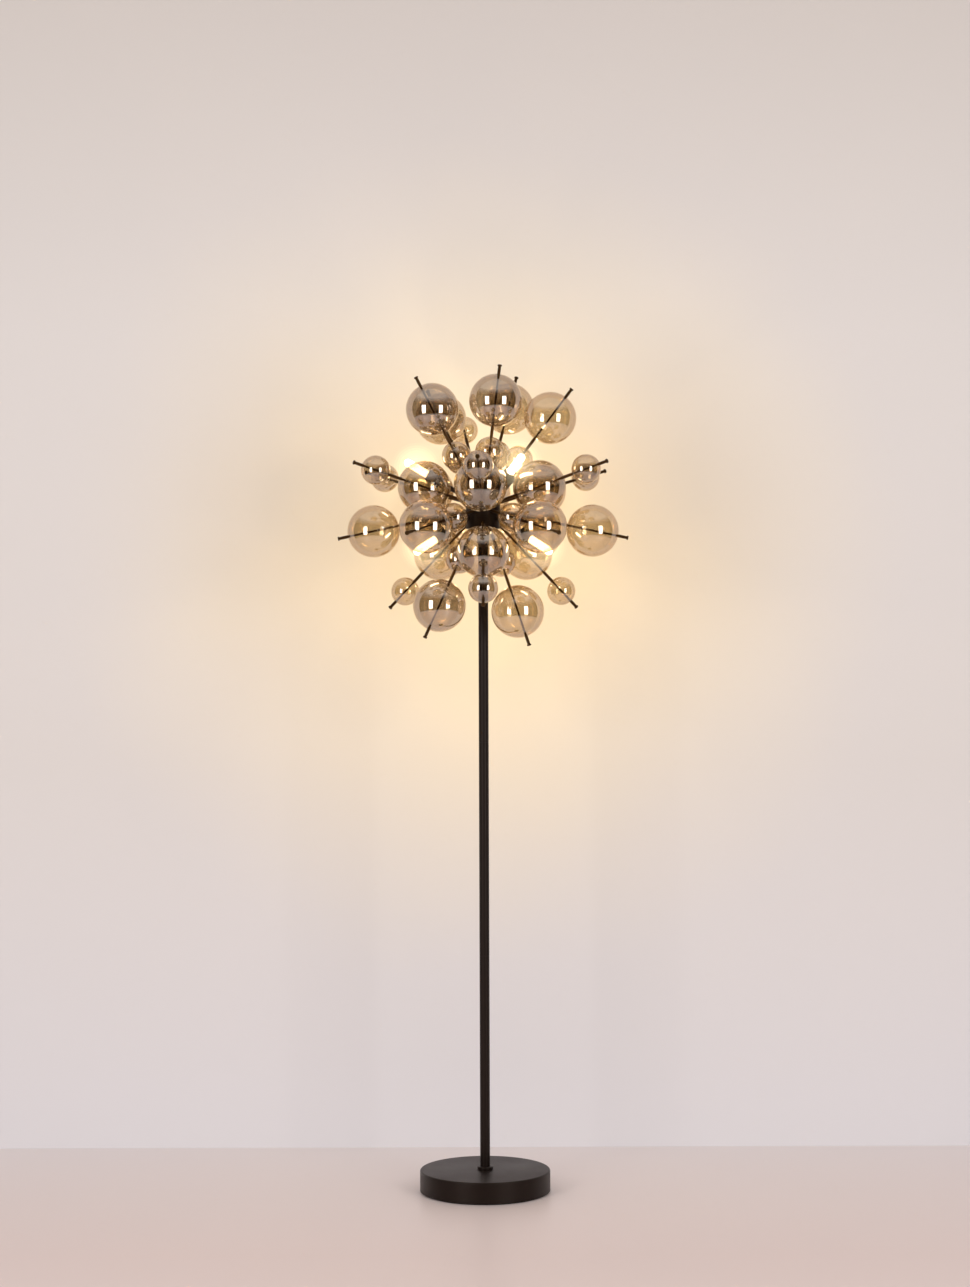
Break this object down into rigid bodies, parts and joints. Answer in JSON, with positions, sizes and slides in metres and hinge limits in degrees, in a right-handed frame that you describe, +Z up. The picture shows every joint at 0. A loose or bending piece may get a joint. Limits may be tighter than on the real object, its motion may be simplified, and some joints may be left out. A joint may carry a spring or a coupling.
{
  "type": "globe floor lamp",
  "caption": "Floor lamp with a round weighted foot, a slim column and a starburst head of rods that carry smoked glass globes and capsule bulbs.",
  "frame": {"origin": "centre of the underside of the foot, on the floor", "axes": "+Z up the column, +Y to the back where the cord enters, +X to the right seen from the front"},
  "size_m": [0.5586, 0.5492, 1.5755],
  "materials": {
    "black_coat": "matt black powder coat",
    "black_rod": "satin black plating",
    "dark_screw": "blackened steel",
    "plain_steel": "zinc plated",
    "thread_brass": "turned",
    "contact_brass": "bright",
    "weight_iron": "as cast",
    "pad_rubber": "matt",
    "black_plastic": "matt",
    "white_plastic": "matt",
    "holder_ceramic": "unglazed",
    "smoked_glass": "half-mirrored smoke grey",
    "bulb_glass": "frosted, lit warm white"
  },
  "bodies": {
    "lamp": {"base_pad": "pad_rubber", "base_cover": "black_coat", "base_weight": "weight_iron", "cord_gland": "black_plastic", "base_washer": "plain_steel", "base_nut": "plain_steel", "base_stud": "thread_brass", "foot_collar": "black_coat", "column_lower": "black_coat", "column_middle": "black_coat", "column_upper": "black_coat", "column_foot_plug": "plain_steel", "column_head_plug": "plain_steel", "column_couplers": "plain_steel", "hub_shell": "black_coat", "hub_dome": "black_coat", "hub_nipple": "thread_brass", "hub_washer": "plain_steel", "hub_nut": "plain_steel", "hub_screws": "dark_screw", "terminal_block": "white_plastic", "supply_cable": "black_plastic", "lamp_leads": "white_plastic", "crown_rods": "black_rod", "upper_rods": "black_rod", "lower_rods": "black_rod", "under_rods": "black_rod", "bottom_rods": "black_rod", "inner_sleeves": "black_rod", "middle_sleeves": "black_rod", "outer_sleeves": "black_rod", "rod_knobs": "black_rod", "large_globes": "smoked_glass", "small_globes": "smoked_glass", "lamp_arms": "black_coat", "lamp_cups": "black_coat", "cup_nuts": "plain_steel", "lampholders": "holder_ceramic", "holder_contacts": "contact_brass"},
    "bulb_1": {"bulb_glass_1": "bulb_glass", "bulb_base_1": "holder_ceramic", "bulb_pins_1": "contact_brass"},
    "bulb_2": {"bulb_glass_2": "bulb_glass", "bulb_base_2": "holder_ceramic", "bulb_pins_2": "contact_brass"},
    "bulb_3": {"bulb_glass_3": "bulb_glass", "bulb_base_3": "holder_ceramic", "bulb_pins_3": "contact_brass"},
    "bulb_4": {"bulb_glass_4": "bulb_glass", "bulb_base_4": "holder_ceramic", "bulb_pins_4": "contact_brass"},
    "bulb_5": {"bulb_glass_5": "bulb_glass", "bulb_base_5": "holder_ceramic", "bulb_pins_5": "contact_brass"},
    "bulb_6": {"bulb_glass_6": "bulb_glass", "bulb_base_6": "holder_ceramic", "bulb_pins_6": "contact_brass"}
  },
  "joints": [
    {"name": "bulb_1_pull", "type": "slide", "parent": "lamp", "child": "bulb_1", "axis": [0.4286, 0.7423, 0.515], "range_m": [0, 0.185]},
    {"name": "bulb_2_pull", "type": "slide", "parent": "lamp", "child": "bulb_2", "axis": [-0.8572, 0, 0.515], "range_m": [0, 0.185]},
    {"name": "bulb_3_pull", "type": "slide", "parent": "lamp", "child": "bulb_3", "axis": [0.4286, -0.7423, 0.515], "range_m": [0, 0.185]},
    {"name": "bulb_4_pull", "type": "slide", "parent": "lamp", "child": "bulb_4", "axis": [0, 0.8572, -0.515], "range_m": [0, 0.185]},
    {"name": "bulb_5_pull", "type": "slide", "parent": "lamp", "child": "bulb_5", "axis": [-0.7423, -0.4286, -0.515], "range_m": [0, 0.185]},
    {"name": "bulb_6_pull", "type": "slide", "parent": "lamp", "child": "bulb_6", "axis": [0.7423, -0.4286, -0.515], "range_m": [0, 0.185]}
  ]
}
